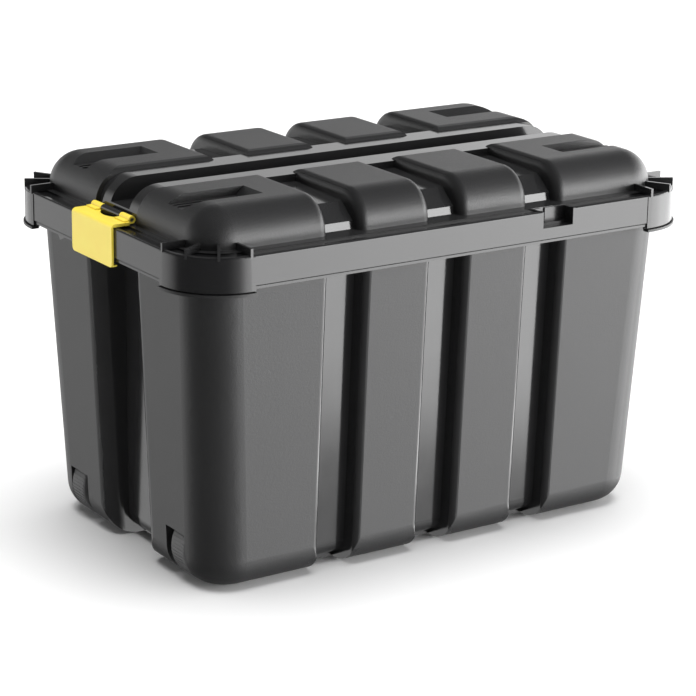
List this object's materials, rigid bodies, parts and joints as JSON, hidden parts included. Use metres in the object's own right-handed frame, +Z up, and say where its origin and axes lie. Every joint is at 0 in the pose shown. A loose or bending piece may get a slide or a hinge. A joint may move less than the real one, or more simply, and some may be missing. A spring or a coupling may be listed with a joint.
{
  "type": "wheeled storage trunk",
  "caption": "Ribbed black storage trunk with a lift-off lid, yellow end latches, rear transport wheels and a sliding tote tray.",
  "frame": {"origin": "centre of the footprint, on the floor", "axes": "+Z up, +X along the length away from the wheels, -Y the near long side"},
  "size_m": [0.7972, 0.5228, 0.509],
  "materials": {
    "tub_plastic": "fine-grained black polypropylene with polished channels",
    "lid_plastic": "fine-grained black polypropylene, polished rim and channels",
    "latch_plastic": "smooth yellow plastic",
    "pin_steel": "drawn steel pin",
    "wheel_plastic": "moulded dark grey plastic with a ribbed tread",
    "axle_steel": "zinc-plated steel",
    "tray_plastic": "black polypropylene"
  },
  "bodies": {
    "tub": {"tub": "tub_plastic", "axle_near": "axle_steel", "axle_clip_near": "axle_steel", "axle_far": "axle_steel", "axle_clip_far": "axle_steel"},
    "lid": {"lid": "lid_plastic", "latch_pin_wheel_end": "pin_steel", "latch_pin_plain_end": "pin_steel"},
    "latch_wheel_end": {"latch_wheel_end": "latch_plastic"},
    "latch_plain_end": {"latch_plain_end": "latch_plastic"},
    "wheel_near": {"wheel_near": "wheel_plastic"},
    "wheel_far": {"wheel_far": "wheel_plastic"},
    "tray": {"tray": "tray_plastic", "divider_1": "tray_plastic", "divider_2": "tray_plastic"}
  },
  "joints": [
    {"name": "lid_lift", "type": "slide", "parent": "tub", "child": "lid", "axis": [0, 0, 1], "range_m": [0, 0.15]},
    {"name": "latch_wheel_end_open", "type": "hinge", "parent": "lid", "child": "latch_wheel_end", "pos_m": [-0.367, 0, 0.467], "axis": [0, 1, 0], "range_deg": [0, 110]},
    {"name": "latch_plain_end_open", "type": "hinge", "parent": "lid", "child": "latch_plain_end", "pos_m": [0.367, 0, 0.467], "axis": [0, -1, 0], "range_deg": [0, 110]},
    {"name": "wheel_near_spin", "type": "hinge", "parent": "tub", "child": "wheel_near", "pos_m": [-0.3085, -0.1384, 0.0462], "axis": [0, 1, 0], "continuous": true},
    {"name": "wheel_far_spin", "type": "hinge", "parent": "tub", "child": "wheel_far", "pos_m": [-0.3085, 0.1384, 0.0462], "axis": [0, 1, 0], "continuous": true},
    {"name": "tray_slide", "type": "slide", "parent": "tub", "child": "tray", "axis": [1, 0, 0], "range_m": [0, 0.332]}
  ]
}
